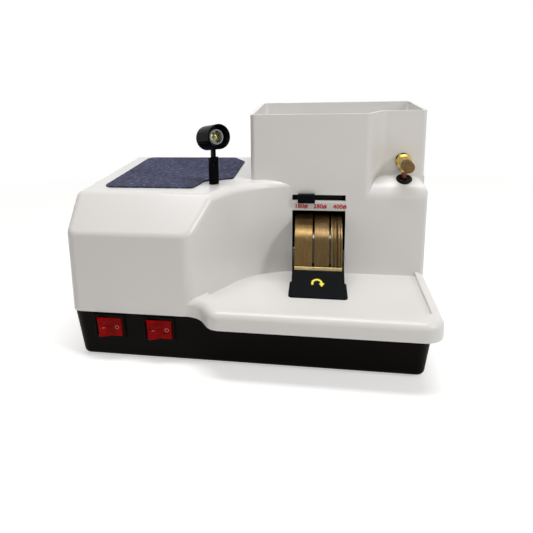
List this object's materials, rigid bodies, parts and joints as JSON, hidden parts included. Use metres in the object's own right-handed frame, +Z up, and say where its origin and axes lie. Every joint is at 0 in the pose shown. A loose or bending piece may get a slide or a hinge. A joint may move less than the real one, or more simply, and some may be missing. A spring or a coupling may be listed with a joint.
{
  "type": "optical lens edger",
  "caption": "Bench machine that grinds the edge of spectacle lenses on diamond wheels in a window under a water tank, with a drip tray, work light, valve and rocker switches.",
  "frame": {"origin": "centre of the machine's outline at the bench, between the feet", "axes": "+X to the operator's right along the wheels' spindle, +Y to the back, +Z up"},
  "size_m": [0.34, 0.255, 0.2285],
  "materials": {
    "casing_white": "satin gloss moulded",
    "tub_black": "fine-grained moulded",
    "rubber_black": "smooth",
    "screw_steel": "zinc plated",
    "felt_blue": "speckled felt",
    "housing_black": "matte",
    "hose_grey": "soft, translucent",
    "guard_black": "satin",
    "brass": "polished",
    "label_cream": "printed film",
    "knob_navy": "satin",
    "acetal_white": "machined",
    "diamond_coarse": "sintered, rough",
    "diamond_medium": "sintered, medium",
    "diamond_fine": "sintered, fine",
    "aluminium": "machined",
    "steel": "ground",
    "motor_grey": "satin",
    "lamination": "stacked sheet",
    "copper": "bare copper",
    "capacitor_can": "drawn",
    "bronze": "dull bronze",
    "lamp_black": "black anodised",
    "reflector": "bright",
    "lens_clear": "clear",
    "board_cream": "printed board",
    "switch_black": "smooth",
    "rocker_red": "translucent"
  },
  "bodies": {
    "base": {"base_tub": "tub_black", "rubber_feet": "rubber_black", "upper_casing": "casing_white", "casing_screws": "screw_steel", "small_screws": "screw_steel", "felt_pad": "felt_blue", "wheel_housing": "housing_black", "shaft_seal": "rubber_black", "drain_hose": "hose_grey", "drain_outlet": "housing_black", "number_labels": "label_cream", "water_manifold": "acetal_white", "water_hose": "hose_grey", "motor_shell": "motor_grey", "motor_end_caps": "aluminium", "ball_bearings": "steel", "stator_core": "lamination", "motor_windings": "copper", "fan_cover": "motor_grey", "motor_cradle": "aluminium", "cradle_straps": "screw_steel", "bearing_stand": "aluminium", "capacitor": "capacitor_can", "capacitor_clip": "housing_black", "valve_body": "brass", "valve_washer": "rubber_black", "valve_nut": "brass", "copper_tube": "copper", "tube_grommet": "rubber_black", "lamp_bush": "acetal_white", "lamp_driver": "switch_black", "switch_bodies": "switch_black", "blade_terminals": "brass", "power_inlet": "switch_black"},
    "spindle": {"spindle": "steel", "coarse_wheel": "diamond_coarse", "medium_wheel": "diamond_medium", "bevel_wheel": "diamond_fine", "wheel_hubs": "aluminium", "wheel_spacers": "steel", "wheel_nut": "steel", "rotor": "lamination", "motor_fan": "housing_black"},
    "selector": {"selector_knob": "knob_navy", "selector_gate": "housing_black"},
    "left_rocker": {"rocker_left": "rocker_red"},
    "right_rocker": {"rocker_right": "rocker_red"},
    "water_cap": {"valve_cap": "bronze"},
    "water_needle": {"valve_needle": "steel"},
    "light_post": {"lamp_post": "lamp_black", "lamp_pin": "steel", "lamp_post_nut": "screw_steel"},
    "light_head": {"lamp_head": "lamp_black", "lamp_bezel": "lamp_black", "lamp_reflector": "reflector", "lamp_lens": "lens_clear", "lamp_board": "board_cream"},
    "lift_off_guard": {"guard": "guard_black", "lens_rest": "brass"}
  },
  "joints": [
    {"name": "spindle_spin", "type": "hinge", "parent": "base", "child": "spindle", "pos_m": [0.065, 0, 0.0786], "axis": [1, 0, 0], "continuous": true},
    {"name": "selector_slide", "type": "slide", "parent": "base", "child": "selector", "axis": [1, 0, 0], "range_m": [-0.006, 0.034]},
    {"name": "left_rocker_tip", "type": "hinge", "parent": "base", "child": "left_rocker", "pos_m": [-0.1315, -0.09868, 0.03719], "axis": [0, 0.1288, -0.9917], "range_deg": [0, 21]},
    {"name": "right_rocker_tip", "type": "hinge", "parent": "base", "child": "right_rocker", "pos_m": [-0.0822, -0.09868, 0.03719], "axis": [0, 0.1288, -0.9917], "range_deg": [0, 21]},
    {"name": "water_needle_travel", "type": "slide", "parent": "base", "child": "water_needle", "axis": [0, -1, 0], "range_m": [0, 0.00187]},
    {"name": "water_cap_turn", "type": "hinge", "parent": "water_needle", "child": "water_cap", "pos_m": [0.1485, -0.0157, 0.178], "axis": [0, -1, 0], "range_deg": [0, 540]},
    {"name": "lamp_swivel", "type": "hinge", "parent": "base", "child": "light_post", "pos_m": [-0.0385, -0.031, 0.162], "axis": [0, 0, 1], "range_deg": [-130, 50]},
    {"name": "lamp_tilt", "type": "hinge", "parent": "light_post", "child": "light_head", "pos_m": [-0.0385, -0.031, 0.1855], "axis": [0.7727, 0.6347, 0], "range_deg": [-20, 60]},
    {"name": "guard_lift", "type": "slide", "parent": "base", "child": "lift_off_guard", "axis": [0, -0.9397, 0.342], "range_m": [0, 0.06]}
  ],
  "couplings": [
    {"joint": "water_cap_turn", "follows": "water_needle_travel", "rad_per_m": 5026.5}
  ]
}
